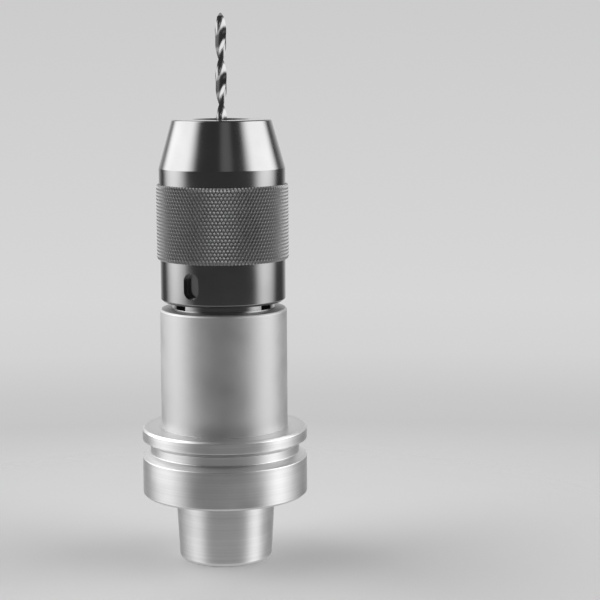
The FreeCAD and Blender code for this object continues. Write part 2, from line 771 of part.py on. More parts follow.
def make_jaw(number):
    """One jaw: a wedge whose rounded back slides down the hood's cone, with a T-shaped foot."""
    name = f"jaw_{number}"
    blank = doc.addObject("PartDesign::Body", name + "_blank")
    back_step = jaw_tip - jaw_front_length
    land_end = jaw_tip - jaw_land_length
    relieved = grip_radius + jaw_land_relief
    sketch = new_sketch(blank, name + "_side", "XZ_Plane")
    add_outline(sketch, [
        (grip_radius, jaw_tip),
        (grip_radius, land_end),
        (relieved, land_end - jaw_land_relief),
        (relieved, jaw_rear),
        (cone_radius(jaw_rear) - jaw_back_relief, jaw_rear),
        (cone_radius(back_step) - jaw_back_relief, back_step),
        (cone_radius(back_step) - jaw_gap, back_step),
        (cone_radius(jaw_tip) - jaw_gap, jaw_tip),
    ])
    centred_pad(blank, name + "_wedge", sketch, jaw_width)
    for part, width, bottom, height in (
        ("neck", foot_neck_width, jaw_rear - foot_neck_height, foot_neck_height),
        ("foot", foot_width, foot_bottom, foot_height),
    ):
        top = bottom + height
        sketch = new_sketch(blank, f"{name}_{part}_side", "XZ_Plane")
        outer = foot_inner + foot_length
        add_outline(sketch, [(foot_inner, bottom), (outer, bottom), (outer, top), (foot_inner, top)])
        centred_pad(blank, f"{name}_{part}", sketch, width)
    cut_jaw_flanks(blank, name)

    steepness = cone_angle.value
    back = doc.addObject("Part::Cylinder", name + "_back")
    back.setExpression("Radius", jaw_back_radius.text)
    back.setExpression("Height", (jaw_length * 2).text)
    tilt = FreeCAD.Rotation(FreeCAD.Vector(0, 1, 0), -steepness)
    along = tilt.multVec(FreeCAD.Vector(0, 0, 1))
    inward = tilt.multVec(FreeCAD.Vector(-1, 0, 0))
    tip = FreeCAD.Vector((cone_radius(jaw_tip) - jaw_gap).value, 0, jaw_tip.value)
    axis_start = tip + inward * jaw_back_radius.value - along * (jaw_length.value * 1.5)
    back.Placement = FreeCAD.Placement(axis_start, tilt)

    jaw = doc.addObject("Part::MultiCommon", name)
    jaw.Label = name
    jaw.Shapes = [blank, back]
    turn_by(jaw, first_jaw_angle + (number - 1) * 360 / jaw_count)
    return jaw


def cut_jaw_flanks(blank, name):
    """Cuts the two flanks that let the jaws meet at the centre."""
    half_land = jaw_land_width / 2
    past = jaw_width
    steep = tangent(Size(60))
    for side, word in ((1, "left"), (-1, "right")):
        sketch = new_sketch(blank, f"{name}_{word}_flank_outline", "XY_Plane", jaw_rear - past)
        inner = grip_radius - past / steep
        outer = grip_radius + past / steep
        add_outline(sketch, [
            (inner, (half_land - past) * side),
            (outer, (half_land + past) * side),
            (inner, (half_land + past) * side),
        ])
        flank = blank.newObject("PartDesign::Pocket", f"{name}_{word}_flank")
        flank.Profile = sketch
        flank.Reversed = True
        flank.setExpression("Length", (jaw_length + past * 2).text)


def make_twist_drill():
    """Twist drill as a plain rod with its ground point, which is what the jaws and collisions need."""
    drill = doc.addObject("Part::Feature", "twist_drill")
    drill.Label = "twist_drill"
    radius = drill_radius.value
    point_height = radius / math.tan(math.radians(point_angle.value / 2))
    shoulder = drill_top.value - point_height
    rod = Part.makeCylinder(radius, shoulder - drill_bottom.value, FreeCAD.Vector(0, 0, drill_bottom.value))
    point = Part.makeCone(radius, 0, point_height, FreeCAD.Vector(0, 0, shoulder))
    drill.Shape = rod.fuse(point).removeSplitter()
    return drill


# ---- assembly -----------------------------------------------------------------------------------
parts = [
    make_hsk_shank(),
    make_slotted_ring(),
    make_rear_plug(),
    make_plug_seal(),
    make_retaining_nut(),
    make_nut_screw(),
    make_washer("lower_race", running_bore, bearing_radius, band_floor, race_height),
    make_washer(
        "upper_race",
        spigot_radius + fit_gap,
        bearing_radius - turning_gap,
        upper_race_bottom,
        race_height,
    ),
    make_ball_cage(),
    make_bearing_balls(),
    make_washer(
        "dust_ring",
        spigot_radius + fit_gap,
        running_bore + dust_ring_width - fit_gap,
        band_bottom + (band_flange_height - dust_ring_height) / 2,
        dust_ring_height,
    ),
    make_spanner_ring(),
    make_knurled_sleeve(),
    make_hood(),
    make_jaw_guide(),
    make_guide_pins(),
    make_clamping_screw(),
]
parts += [make_jaw(number) for number in range(1, jaw_count + 1)]
parts.append(make_twist_drill())

doc.recompute()
for item in doc.Objects:
    if "Invalid" in item.State or "Error" in item.State:
        raise RuntimeError(f"{item.Name} failed: {item.State}")
for part in parts:
    if part.Shape.isNull() or not part.Shape.isValid():
        raise RuntimeError(f"{part.Label} has no valid shape")

os.makedirs("parts", exist_ok=True)
for part in parts:
    part.Shape.exportStep(f"parts/{part.Label}.step")
    box = part.Shape.BoundBox
    print(f"{part.Label}: {len(part.Shape.Solids)} solid, {part.Shape.Volume:.0f} mm3, "
          f"z {box.ZMin:.2f} to {box.ZMax:.2f}, width {box.XLength:.2f}")
print(f"jaw travel along the axis {jaw_travel.value:.3f}")
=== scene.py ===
# %% [markdown]
# # A keyless drill chuck on a hollow-taper shank
# The chuck is a turned steel tool: almost every piece is a shape that a lathe makes, so almost every
# piece here is an outline spun round the Z axis. What makes it look real is the difference between its
# finishes: ground steel on the flange, blasted steel on the body, glossy black oxide on the hood, and
# a cut diamond knurl on the sleeve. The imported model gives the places; the cells below give the looks.

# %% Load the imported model
import math

import bmesh
import bpy
from mathutils import Matrix, Vector


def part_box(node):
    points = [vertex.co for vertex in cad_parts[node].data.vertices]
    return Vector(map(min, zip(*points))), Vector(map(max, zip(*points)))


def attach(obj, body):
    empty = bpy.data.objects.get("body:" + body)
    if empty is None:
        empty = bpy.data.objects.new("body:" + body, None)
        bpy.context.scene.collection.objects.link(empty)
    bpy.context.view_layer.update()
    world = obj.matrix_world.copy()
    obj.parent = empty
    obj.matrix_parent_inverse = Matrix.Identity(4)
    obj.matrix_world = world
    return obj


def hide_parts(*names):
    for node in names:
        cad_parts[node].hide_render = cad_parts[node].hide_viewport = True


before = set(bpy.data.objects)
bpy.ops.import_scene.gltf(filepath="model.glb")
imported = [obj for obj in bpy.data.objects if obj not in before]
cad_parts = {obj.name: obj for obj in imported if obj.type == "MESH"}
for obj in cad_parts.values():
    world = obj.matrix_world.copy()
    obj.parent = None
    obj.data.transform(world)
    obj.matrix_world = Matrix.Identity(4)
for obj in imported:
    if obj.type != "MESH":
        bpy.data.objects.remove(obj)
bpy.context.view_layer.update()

print("nodes:", sorted(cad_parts))

# %% [markdown]
# ## Units and reading sizes
# Everything is in metres and the drawing sizes are easier to read in millimetres, so `MM` turns one
# into the other. The outlines further down repeat the drawing's own radii and heights, in
# millimetres.

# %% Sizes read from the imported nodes
MM = 0.001


def low(node):
    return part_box(node)[0].z


def high(node):
    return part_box(node)[1].z


def radius_of(node):
    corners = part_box(node)
    return (corners[1].x - corners[0].x) / 2


SHANK_FOOT = low("hsk_shank")
FLANGE_RADIUS = radius_of("hsk_shank")
BODY_TOP = low("slotted_ring")
BAND_TOP = low("knurled_sleeve")
KNURL_TOP = high("knurled_sleeve")
DRILL_TOP = high("twist_drill")
DRILL_BOTTOM = low("twist_drill")
BAND_RADIUS = radius_of("spanner_ring")
KNURL_RADIUS = radius_of("knurled_sleeve")
DRILL_RADIUS = radius_of("twist_drill")
print("flange", round(FLANGE_RADIUS / MM, 2), "sleeve", round(KNURL_RADIUS / MM, 2), "mm radius")

# %% [markdown]
# ## The camera
# The chuck is seen from slightly above and a little to the right of its axis, through a short telephoto
# lens. A camera has a focal length in millimetres on a 36 mm sensor. Left alone it looks straight down;
# tipping it by 82 degrees about X makes it look almost level. A Track To constraint would aim it too,
# but two plain turns say exactly where it looks.

# %% Camera
SENSOR = 36.0
FOCAL_LENGTH = 105.66
STAND = (29.07 * MM, -662.7 * MM, 167.26 * MM)
TIP = math.radians(82.008)
ROLL = math.radians(-0.281)
camera_data = bpy.data.cameras.new("studio_camera")
camera_data.sensor_width = SENSOR
camera_data.lens = FOCAL_LENGTH
camera_data.clip_start = 0.01
camera_data.clip_end = 20
camera = bpy.data.objects.new("studio_camera", camera_data)
camera.matrix_world = (
    Matrix.Translation(STAND) @ Matrix.Rotation(TIP, 4, "X") @ Matrix.Rotation(ROLL, 4, "Z")
)
bpy.context.scene.collection.objects.link(camera)
bpy.context.scene.camera = camera
bpy.context.scene.view_settings.view_transform = "Standard"
print("camera at", [round(value, 3) for value in camera.matrix_world.translation])

# %% [markdown]
# ## Light for polished metal
# A polished cylinder is a mirror that squeezes the whole room into a few vertical bands. So the light
# is really a drawing of what the metal should reflect: a large soft lamp on each side for the two
# bright bands, and a dark room behind the camera for the dark band down the middle. Each lamp is a
# round glow in one direction of the world, fading out from its middle, as a lamp behind a diffuser
# does. Where the camera looks straight at the world it sees a plain pale backdrop instead.

# %% Lamps in the world
ROOM = 0.11
LAMPS = [  # azimuth, elevation, full within, gone beyond (all in degrees), strength
    (89, 23, 17, 42, 3.9),  # right-hand bright band
    (-97, 26, 22, 46, 3.9),  # left-hand bright band
    (180, 20, 15, 50, 0.8),  # behind, for the flat upper faces
    (11, 26, 3, 14, 0.3),  # faint stripe down the front of the hood
    (75, -26, 3, 24, 1.3),  # low on the right, for the flange
    (-70, -26, 3, 24, 1.1),  # low on the left, for the flange
    (0, -90, 55, 84, 0.7),  # light thrown up by the table
]

world = bpy.data.worlds.new("studio")
bpy.context.scene.world = world
world.use_nodes = True
tree = world.node_tree
tree.nodes.clear()
toward = tree.nodes.new("ShaderNodeTexCoord").outputs["Generated"]


def glow(before, azimuth, elevation, inner, outer, strength):
    """Adds a round soft lamp to the world. Azimuth 0 is the camera's side, positive is to the right."""
    turn = math.radians(azimuth)
    lift = math.radians(elevation)
    centre = (math.sin(turn) * math.cos(lift), -math.cos(turn) * math.cos(lift), math.sin(lift))
    nearness = tree.nodes.new("ShaderNodeVectorMath")
    nearness.operation = "DOT_PRODUCT"
    nearness.inputs[1].default_value = centre
    falloff = tree.nodes.new("ShaderNodeMapRange")
    falloff.interpolation_type = "SMOOTHSTEP"
    falloff.inputs["From Min"].default_value = math.cos(math.radians(outer))
    falloff.inputs["From Max"].default_value = math.cos(math.radians(inner))
    falloff.inputs["To Max"].default_value = strength
    total = tree.nodes.new("ShaderNodeMath")
    total.inputs[1].default_value = ROOM
    tree.links.new(toward, nearness.inputs[0])
    tree.links.new(nearness.outputs["Value"], falloff.inputs["Value"])
    tree.links.new(falloff.outputs["Result"], total.inputs[0])
    if before is not None:
        tree.links.new(before, total.inputs[1])
    return total.outputs[0]


light = None
for lamp in LAMPS:
    light = glow(light, *lamp)
print("lamps:", len(LAMPS))

# %% [markdown]
# ## Two worlds in one
# The metal has to mirror the lamps, but behind the chuck only a plain pale backdrop should show. The
# Light Path node tells a ray that comes straight from the camera from one that has been reflected, so a
# Mix Shader can give each its own background. The backdrop is a ramp over height with painted shade
# and light in it: a little darker where it meets the table, and paler above.

# %% Backdrop
BACKDROP_LOW = -0.27
BACKDROP_HIGH = 0.03
# Grey levels up the backdrop's height: painted shade where it meets the table, painted light above.
BACKDROP_PAINTED_SHADE = (
    (0.0, 0.64), (0.16, 0.6), (0.21, 0.565), (0.26, 0.585),
    (0.34, 0.65), (0.44, 0.675), (0.8, 0.63), (1.0, 0.605),
)
reflected = tree.nodes.new("ShaderNodeBackground")
tree.links.new(light, reflected.inputs["Color"])
split = tree.nodes.new("ShaderNodeSeparateXYZ")
level = tree.nodes.new("ShaderNodeMapRange")
level.inputs["From Min"].default_value = BACKDROP_LOW
level.inputs["From Max"].default_value = BACKDROP_HIGH
shade = tree.nodes.new("ShaderNodeValToRGB")
for place, value in BACKDROP_PAINTED_SHADE[1:-1]:
    shade.color_ramp.elements.new(place)
for element, (place, value) in zip(shade.color_ramp.elements, BACKDROP_PAINTED_SHADE):
    element.position = place
    element.color = (value, value, value, 1)
seen = tree.nodes.new("ShaderNodeBackground")
tree.links.new(toward, split.inputs[0])
tree.links.new(split.outputs["Z"], level.inputs["Value"])
tree.links.new(level.outputs["Result"], shade.inputs["Fac"])
tree.links.new(shade.outputs["Color"], seen.inputs["Color"])
path = tree.nodes.new("ShaderNodeLightPath")
choice = tree.nodes.new("ShaderNodeMixShader")
output = tree.nodes.new("ShaderNodeOutputWorld")
tree.links.new(path.outputs["Is Camera Ray"], choice.inputs["Fac"])
tree.links.new(reflected.outputs["Background"], choice.inputs[1])
tree.links.new(seen.outputs["Background"], choice.inputs[2])
tree.links.new(choice.outputs["Shader"], output.inputs["Surface"])
print("world nodes:", len(tree.nodes))

# %% [markdown]
# ## The floor
# A pale round table whose edge fades out, so that it has no horizon. The fade is a mix of a pale surface
# and a transparent one, driven by the distance from the middle in Object coordinates. The metal doesn't
# mirror the table, so the lower steel keeps the light of the lamps. It lies a hair below the shank's
# foot, because two faces in the same plane flicker.

# %% Floor
FLOOR_RADIUS = 0.26
FADE_START = 0.08
FLOOR_LEVEL = SHANK_FOOT - 0.05 * MM
FLOOR_GREY = (0.5, 0.5, 0.5, 1)


def new_material(name):
    material = bpy.data.materials.new(name)
    material.use_nodes = True
    material.node_tree.nodes.clear()
    return material


def add_node(material, kind, **settings):
    """Adds a node; settings are its properties, or its input sockets by name."""
    node = material.node_tree.nodes.new(kind)
    for key, value in settings.items():
        socket = key.replace("_", " ").title()
        if hasattr(node, key):
            setattr(node, key, value)
        else:
            node.inputs[socket].default_value = value
    return node


def link(material, start, end):
    material.node_tree.links.new(start, end)


floor_paint = new_material("pale_table")
place = add_node(floor_paint, "ShaderNodeTexCoord")
length = add_node(floor_paint, "ShaderNodeVectorMath", operation="LENGTH")
fade = add_node(floor_paint, "ShaderNodeMapRange", from_min=FADE_START, from_max=FLOOR_RADIUS)
fade.interpolation_type = "SMOOTHSTEP"
paint = add_node(floor_paint, "ShaderNodeBsdfPrincipled", base_color=FLOOR_GREY, roughness=0.6)
clear = add_node(floor_paint, "ShaderNodeBsdfTransparent")
mix = add_node(floor_paint, "ShaderNodeMixShader")
out = add_node(floor_paint, "ShaderNodeOutputMaterial")
link(floor_paint, place.outputs["Object"], length.inputs[0])
link(floor_paint, length.outputs["Value"], fade.inputs["Value"])
link(floor_paint, fade.outputs["Result"], mix.inputs["Fac"])
link(floor_paint, paint.outputs["BSDF"], mix.inputs[1])
link(floor_paint, clear.outputs["BSDF"], mix.inputs[2])
link(floor_paint, mix.outputs["Shader"], out.inputs["Surface"])

bm = bmesh.new()
bmesh.ops.create_circle(bm, cap_ends=True, segments=96, radius=FLOOR_RADIUS)
floor_mesh = bpy.data.meshes.new("floor")
bm.to_mesh(floor_mesh)
bm.free()
floor_mesh.materials.append(floor_paint)
floor = bpy.data.objects.new("floor", floor_mesh)
floor.location.z = FLOOR_LEVEL
bpy.context.scene.collection.objects.link(floor)
floor.visible_glossy = False
print("floor at", round(FLOOR_LEVEL / MM, 2), "mm")

# %% [markdown]
# ## Finishes
# Steel is the same shader everywhere: metallic, with a grey base colour. The finish is in the small
# things. Turned and ground steel has fine rings round the axis, so its bump is a noise that changes
# quickly along the axis and not at all around it, and faint streaks from the feed of the tool. Blasted
# steel has a fine even grain. An image could hold the same marks, but a noise on Object coordinates needs
# no unwrapping and stays sharp close up.

# %% Finish helpers


def ring_coordinates(material):
    """Coordinates that change along the axis and outwards, and stay the same around the axis."""
    place = add_node(material, "ShaderNodeTexCoord")
    split = add_node(material, "ShaderNodeSeparateXYZ")
    flat = add_node(material, "ShaderNodeVectorMath", operation="MULTIPLY")
    flat.inputs[1].default_value = (1, 1, 0)
    reach = add_node(material, "ShaderNodeVectorMath", operation="LENGTH")
    joined = add_node(material, "ShaderNodeCombineXYZ")
    link(material, place.outputs["Object"], split.inputs[0])
    link(material, place.outputs["Object"], flat.inputs[0])
    link(material, flat.outputs[0], reach.inputs[0])
    link(material, reach.outputs["Value"], joined.inputs["X"])
    link(material, split.outputs["Z"], joined.inputs["Y"])
    return joined.outputs[0]


def noise(material, coordinates, scale, detail=3.0, roughness=0.5):
    node = add_node(material, "ShaderNodeTexNoise", scale=scale, detail=detail, roughness=roughness)
    link(material, coordinates, node.inputs["Vector"])
    return node.outputs["Fac"]


def ranged(material, value, low_value, high_value, from_low=0.3, from_high=0.7):
    node = add_node(material, "ShaderNodeMapRange")
    node.inputs["From Min"].default_value = from_low
    node.inputs["From Max"].default_value = from_high
    node.inputs["To Min"].default_value = low_value
    node.inputs["To Max"].default_value = high_value
    link(material, value, node.inputs["Value"])
    return node.outputs["Result"]


def bumped(material, height, strength, distance, before=None):
    node = add_node(material, "ShaderNodeBump")
    node.inputs["Strength"].default_value = strength
    node.inputs["Distance"].default_value = distance
    link(material, height, node.inputs["Height"])
    if before is not None:
        link(material, before, node.inputs["Normal"])
    return node.outputs["Normal"]


CLOUDS = 60
FEED = 900
RINGS = 2300
GRAIN = 7000
MARK_DEPTH = 0.02 * MM


def metal(name, grey, rough, ring_bump=0.0, grain_bump=0.0, tint=(1, 1, 1), streaks=0.0):
    """A steel finish: grey level, roughness, and how strongly tool rings, grain and streaks show."""
    material = new_material(name)
    shader = add_node(material, "ShaderNodeBsdfPrincipled")
    shader.inputs["Metallic"].default_value = 1
    out = add_node(material, "ShaderNodeOutputMaterial")
    link(material, shader.outputs["BSDF"], out.inputs["Surface"])
    place = add_node(material, "ShaderNodeTexCoord").outputs["Object"]
    around = ring_coordinates(material)
    clouds = noise(material, place, CLOUDS, detail=4)
    level = ranged(material, clouds, grey * 0.9, grey * 1.1, 0.2, 0.8)
    if streaks:
        feed = noise(material, around, FEED, detail=4, roughness=0.7)
        streaked = add_node(material, "ShaderNodeMath", operation="MULTIPLY")
        link(material, level, streaked.inputs[0])
        link(material, ranged(material, feed, 1 - streaks, 1 + streaks), streaked.inputs[1])
        level = streaked.outputs[0]
    colour = add_node(material, "ShaderNodeVectorMath", operation="MULTIPLY")
    colour.inputs[1].default_value = tint
    link(material, level, colour.inputs[0])
    link(material, colour.outputs[0], shader.inputs["Base Color"])
    link(material, ranged(material, clouds, rough * 0.9, rough * 1.12), shader.inputs["Roughness"])
    normal = None
    if ring_bump:
        normal = bumped(material, noise(material, around, RINGS), ring_bump, MARK_DEPTH)
    if grain_bump:
        normal = bumped(material, noise(material, place, GRAIN, detail=1), grain_bump, MARK_DEPTH, normal)
    if normal is not None:
        link(material, normal, shader.inputs["Normal"])
    return material


# %% [markdown]
# ## The steels
# The same helper makes every finish on the chuck. The order is from the outside in: ground flange, blasted
# body, black oxide, its rougher knurl, then the drill and the parts that are only seen through the mouth.

# %% Steel finishes by name
GROUND = metal("ground_steel", 0.53, 0.36, ring_bump=0.6, streaks=0.09)
BLASTED = metal("blasted_steel", 0.41, 0.52, grain_bump=0.6)
BLACK = metal("black_oxide", 0.21, 0.17, ring_bump=0.05)
KNURL = metal("black_oxide_knurl", 0.2, 0.45, grain_bump=0.1)
DRILL = metal("bright_drill_steel", 0.2, 0.2, ring_bump=0.05)
HARD = metal("hardened_steel", 0.5, 0.25, ring_bump=0.1)
BALL = metal("bearing_steel", 0.75, 0.08)
BRASS = metal("cage_brass", 0.62, 0.3, ring_bump=0.1, tint=(1.0, 0.8, 0.42))
DARK = metal("dark_plug_steel", 0.3, 0.35, ring_bump=0.1)
print("finishes:", len(bpy.data.materials))

# %% [markdown]
# ## Turning a piece
# A lathe cuts an outline while the work turns. Here the outline is a closed loop of points in the XZ
# plane, `spin` turns it round Z, and a small bevel on every sharp edge gives the thin bright line that
# a real broken edge has. A Screw modifier could turn the outline too, but the operator gives a mesh that
# can be bevelled at once. The Weighted Normal modifier keeps the large faces even in the reflections.

# %% Lathe helper
STEPS = 160


def in_metres(outline):
    """Turns an outline in millimetres into one in metres."""
    return [(reach * MM, level * MM) for reach, level in outline]


def piece_from(bm, name, body, material, nodes, smooth=30):
    """Makes a finished piece from a bmesh, ties it to a body and hides the nodes that it stands for."""
    mesh = bpy.data.meshes.new(name)
    bm.to_mesh(mesh)
    bm.free()
    for polygon in mesh.polygons:
        polygon.use_smooth = True
    mesh.set_sharp_from_angle(angle=math.radians(smooth))
    mesh.materials.append(material)
    piece = bpy.data.objects.new(name, mesh)
    bpy.context.scene.collection.objects.link(piece)
    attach(piece, body)
    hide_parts(*nodes)
    print(name, len(mesh.polygons), "faces")
    return piece


def turned_shape(outline, steps=STEPS):
    """Spins a closed (radius, height) outline round the Z axis into a closed shell."""
    bm = bmesh.new()
    corners = [bm.verts.new((reach, 0, level)) for reach, level in outline]
    for first, second in zip(corners, corners[1:] + corners[:1]):
        bm.edges.new((first, second))
    bmesh.ops.spin(
        bm, geom=bm.verts[:] + bm.edges[:], cent=(0, 0, 0), axis=(0, 0, 1),
        angle=2 * math.pi, steps=steps, use_merge=True,
    )
    bmesh.ops.remove_doubles(bm, verts=bm.verts[:], dist=0.0005 * MM)
    bmesh.ops.recalc_face_normals(bm, faces=bm.faces[:])
    return bm


def break_edges(bm, width, sharper_than=20, segments=3, chosen=None):
    """Rounds the chosen edges, or all of them, where they turn by more than an angle in degrees."""
    limit = math.radians(sharper_than)
    sharp = [
        edge for edge in bm.edges
        if len(edge.link_faces) == 2 and edge.calc_face_angle() > limit
        and (chosen is None or chosen(edge))
    ]
    bmesh.ops.bevel(
        bm, geom=sharp, offset=width, offset_type="OFFSET", segments=segments,
        profile=0.5, affect="EDGES", clamp_overlap=True, material=-1,
    )
    return bm


def even_shading(piece):
    """Lets the large faces decide the normals, so that narrow bevels don't bend the reflections."""
    modifier = piece.modifiers.new("even_shading", "WEIGHTED_NORMAL")
    modifier.keep_sharp = True
    return piece


# %% [markdown]
# ## The shank
# One piece of steel carries everything: the hollow taper that seats in the spindle, the flange with
# its gripper groove, the plain body and the spigot for the bearing. Its two finishes meet at the top
# of the flange, so the piece has two material slots and the faces above the flange take the second.

# %% Shank
SHANK_OUTLINE = [
    (13.0, -25.0), (17.247, -25.0), (17.747, -24.0), (19.0, 0.0), (30.7, 0.0), (31.5, 0.8),
    (31.5, 14.55), (28.5, 16.4), (28.5, 19.6), (31.5, 21.45),
    (31.5, 25.2), (30.7, 26.0), (24.1, 26.0), (24.1, 70.9), (23.5, 71.5),
    (14.0, 71.5), (14.0, 85.65), (8.05, 85.65), (8.05, 53.03), (3.0, 53.03), (3.0, 9.1),
    (8.0, 9.1), (8.0, 1.5), (11.5, 1.5), (15.5, -4.0), (15.5, -14.67), (13.0, -19.0),
]
FLANGE_TOP = 26.0 * MM
SPIGOT_RADIUS = 14.0 * MM
BODY_RADIUS = 24.1 * MM
SLIVER = 0.01 * MM
shape = break_edges(turned_shape(in_metres(SHANK_OUTLINE)), 0.15 * MM)
shank = piece_from(shape, "shank_turned", "shank", GROUND, ["hsk_shank"])
shank.data.materials.append(BLASTED)
for polygon in shank.data.polygons:
    level = polygon.center.z
    reach = Vector(polygon.center.xy).length
    beside_body = FLANGE_TOP - SLIVER < level < BODY_TOP + 0.1 * MM
    if beside_body and SPIGOT_RADIUS + 1 * MM < reach < BODY_RADIUS + 0.2 * MM:
        polygon.material_index = 1
even_shading(shank)

# %% [markdown]
# ## Milling pockets
# The ring in the neck and the spanner ring are turned blanks with pockets milled into them. Cutting the
# pockets into the mesh by hand would need many loops, so a Boolean modifier subtracts the milling
# cutter's path instead, and its result is kept as the mesh.

# %% Cutting pockets


def milled(bm, cutters):
    """Subtracts closed cutter shapes from a turned blank and returns the result as a new bmesh."""
    blank_mesh = bpy.data.meshes.new("blank")
    bm.to_mesh(blank_mesh)
    bm.free()
    blank = bpy.data.objects.new("blank", blank_mesh)
    bpy.context.scene.collection.objects.link(blank)
    cutter_mesh = bpy.data.meshes.new("cutters")
    cutters.to_mesh(cutter_mesh)
    cutters.free()
    cutter = bpy.data.objects.new("cutters", cutter_mesh)
    bpy.context.scene.collection.objects.link(cutter)
    modifier = blank.modifiers.new("milling", "BOOLEAN")
    modifier.operation = "DIFFERENCE"
    modifier.solver = "EXACT"
    modifier.object = cutter
    graph = bpy.context.evaluated_depsgraph_get()
    result = bmesh.new()
    result.from_object(blank, graph)
    for item, mesh in ((blank, blank_mesh), (cutter, cutter_mesh)):
        bpy.data.objects.remove(item)
        bpy.data.meshes.remove(mesh)
    return result


# %% [markdown]
# ## Slotted ring
# The black ring in the neck screws down on the bearing's spigot. Its notches take a pin spanner. A thin
# foot under it stands on the body. Each notch is a cube scaled to the cutter's path and turned round Z.

# %% Slotted ring
RING_OUTLINE = [
    (14.0, 71.5), (19.5, 71.5), (19.5, 72.1), (18.7, 72.1), (18.7, 74.15), (14.0, 74.15),
]
NOTCHES = 3
NOTCH_SIZE = (5.2 * MM, 7.0 * MM, 5.2 * MM)
NOTCH_CENTRE = (18.7 * MM, 0, 74.7 * MM)
NOTCH_TURN = 62 - 90
ring = turned_shape(in_metres(RING_OUTLINE))
notches = bmesh.new()
for index in range(NOTCHES):
    box = bmesh.ops.create_cube(notches, size=1)["verts"]
    bmesh.ops.scale(notches, vec=NOTCH_SIZE, verts=box)
    bmesh.ops.translate(notches, vec=NOTCH_CENTRE, verts=box)
    turn = Matrix.Rotation(math.radians(NOTCH_TURN + index * 360 / NOTCHES), 3, "Z")
    bmesh.ops.rotate(notches, cent=(0, 0, 0), matrix=turn, verts=box)
ring = milled(ring, notches)
break_edges(ring, 0.12 * MM, segments=2)
even_shading(piece_from(ring, "slotted_ring_turned", "shank", BLACK, ["slotted_ring"]))

# %% [markdown]
# ## Hood
# The hood is the glossy black nose. Its outside is two faces, a cone and a short collar, and the edge
# between them is sharp in the real one, so it gets only a very small bevel. Its inside is the cone that
# the jaws slide on.

# %% Hood
HOOD_OUTLINE = [
    (19.87, 97.4), (22.608, 97.4), (22.608, 118.65), (23.858, 118.65), (23.858, 124.65),
    (18.85, 142.4), (18.45, 142.8), (11.0, 142.8), (7.481, 140.6),
]
shape = break_edges(turned_shape(in_metres(HOOD_OUTLINE)), 0.1 * MM, sharper_than=12, segments=2)
even_shading(piece_from(shape, "hood_turned", "sleeve", BLACK, ["hood"]))

# %% [markdown]
# ## Spanner ring
# The plain black band under the knurl has two upright slots for a hook spanner. The cutter starts as a
# disc, is pulled apart into a long round-ended slot, and is extruded inwards, which is the path of a
# slot mill. The edge where a slot breaks through gets a wider chamfer than the rest.

# %% Spanner ring
BAND_OUTLINE = [
    (14.3, 74.45), (22.758, 74.45), (23.658, 75.35), (23.658, 90.4), (22.608, 90.4), (22.608, 97.4),
    (19.608, 97.4), (19.608, 77.25), (14.3, 77.25),
]
SLOTS = 2
SLOT_WIDTH = 6.2 * MM
SLOT_HEIGHT = 9.8 * MM
SLOT_DEPTH = 2.9 * MM
SLOT_LEVEL = 82.2 * MM
SLOT_TURN = -28
SLOT_CHAMFER = 0.4 * MM
band = turned_shape(in_metres(BAND_OUTLINE))
slots = bmesh.new()
for index in range(SLOTS):
    face = bmesh.ops.create_circle(slots, cap_ends=True, segments=48, radius=SLOT_WIDTH / 2)["verts"]
    for vert in face:
        if vert.co.y > 1e-6:
            vert.co.y += (SLOT_HEIGHT - SLOT_WIDTH) / 2
        elif vert.co.y < -1e-6:
            vert.co.y -= (SLOT_HEIGHT - SLOT_WIDTH) / 2
    rim = [item for item in slots.faces if item.verts[0] in face]
    pushed = bmesh.ops.extrude_face_region(slots, geom=rim)["geom"]
    moved = [item for item in pushed if isinstance(item, bmesh.types.BMVert)]
    bmesh.ops.translate(slots, vec=(0, 0, 2 * SLOT_DEPTH), verts=moved)
    every = face + moved
    upright = Matrix.Rotation(math.radians(90), 3, "X")
    bmesh.ops.rotate(slots, cent=(0, 0, 0), matrix=upright, verts=every)
    bmesh.ops.translate(slots, vec=(0, -(BAND_RADIUS - SLOT_DEPTH), SLOT_LEVEL), verts=every)
    turn = Matrix.Rotation(math.radians(SLOT_TURN + index * 360 / SLOTS), 3, "Z")
    bmesh.ops.rotate(slots, cent=(0, 0, 0), matrix=turn, verts=every)
bmesh.ops.recalc_face_normals(slots, faces=slots.faces[:])
band = milled(band, slots)


def at_slot_mouth(edge):
    """Tells an edge where a slot breaks through the ring's outside."""
    reach = min(Vector(vert.co.xy).length for vert in edge.verts)
    off_centre = abs(edge.verts[0].co.z - SLOT_LEVEL)
    return reach > BAND_RADIUS - 0.02 * MM and off_centre < SLOT_HEIGHT / 2 + 0.2 * MM


break_edges(band, SLOT_CHAMFER, sharper_than=35, segments=2, chosen=at_slot_mouth)
break_edges(band, 0.15 * MM, sharper_than=40, segments=2, chosen=lambda edge: not at_slot_mouth(edge))
band = piece_from(band, "spanner_ring_turned", "sleeve", BLACK, ["spanner_ring"])
even_shading(band)

# %% [markdown]
# ## Diamond knurl
# A knurling wheel presses two crossing sets of grooves into the sleeve and leaves rows of small
# diamonds. Each diamond is a four-sided face, and `inset_individual` raises its middle into a flat-topped
# pyramid. The flat sheet of diamonds is trimmed square at both ends and rolled round the axis. A bump in
# the material would be quicker, but then the sleeve's outline would stay smooth.

